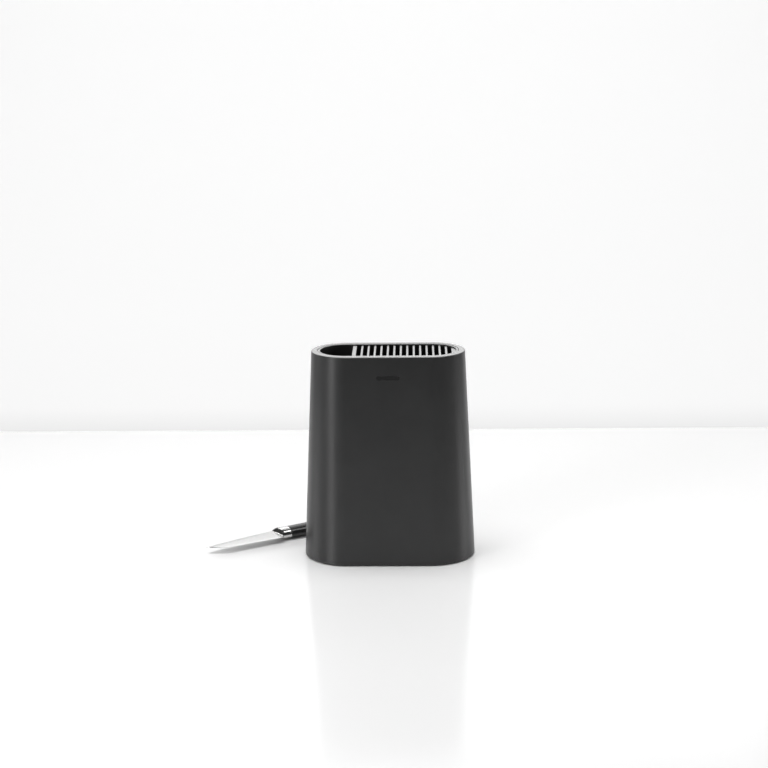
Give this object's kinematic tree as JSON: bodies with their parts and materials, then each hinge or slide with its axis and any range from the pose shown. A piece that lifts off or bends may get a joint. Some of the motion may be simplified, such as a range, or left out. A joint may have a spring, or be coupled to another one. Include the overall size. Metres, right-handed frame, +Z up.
{
  "type": "knife block with paring knife",
  "caption": "Free-standing tapered oval knife block with a lift-out slotted insert and utensil compartment, and a paring knife lying beside it.",
  "frame": {"origin": "centre of the block's footprint, on the surface it stands on, at the underside of its anti-slip pad", "axes": "+X along the block's long direction, from the utensil compartment towards the slots; +Y to the block's back; +Z up"},
  "size_m": [0.3043, 0.1551, 0.235],
  "materials": {
    "shell_plastic": "satin dark grey",
    "base_plastic": "matt dark grey",
    "screw_steel": "zinc plated",
    "pad_rubber": "matt",
    "insert_plastic": "satin dark grey",
    "slat_plastic": "satin dark grey",
    "blade_steel": "fine brushed",
    "bolster_steel": "mirror polished",
    "handle_plastic": "semi-gloss black",
    "cap_steel": "polished"
  },
  "bodies": {
    "block": {"outer_shell": "shell_plastic", "base_plate": "base_plastic", "base_screws": "screw_steel", "foot_pad": "pad_rubber"},
    "insert": {"insert_sleeve": "insert_plastic", "insert_floor": "insert_plastic", "divider_wall": "insert_plastic", "end_filler": "insert_plastic", "slat_01": "slat_plastic", "slat_02": "slat_plastic", "slat_03": "slat_plastic", "slat_04": "slat_plastic", "slat_05": "slat_plastic", "slat_06": "slat_plastic", "slat_07": "slat_plastic", "slat_08": "slat_plastic", "slat_09": "slat_plastic", "slat_10": "slat_plastic", "slat_11": "slat_plastic", "slat_12": "slat_plastic", "slat_13": "slat_plastic", "slat_14": "slat_plastic"},
    "knife": {"knife_blade": "blade_steel", "knife_bolster": "bolster_steel", "knife_handle": "handle_plastic", "knife_end_cap": "cap_steel"}
  },
  "joints": [
    {"name": "insert_lift", "type": "slide", "parent": "block", "child": "insert", "axis": [0, 0, 1], "range_m": [0, 0.24]},
    {"name": "knife_pick_up", "type": "slide", "parent": "block", "child": "knife", "axis": [0, 0, 1], "range_m": [0, 0.25]}
  ]
}
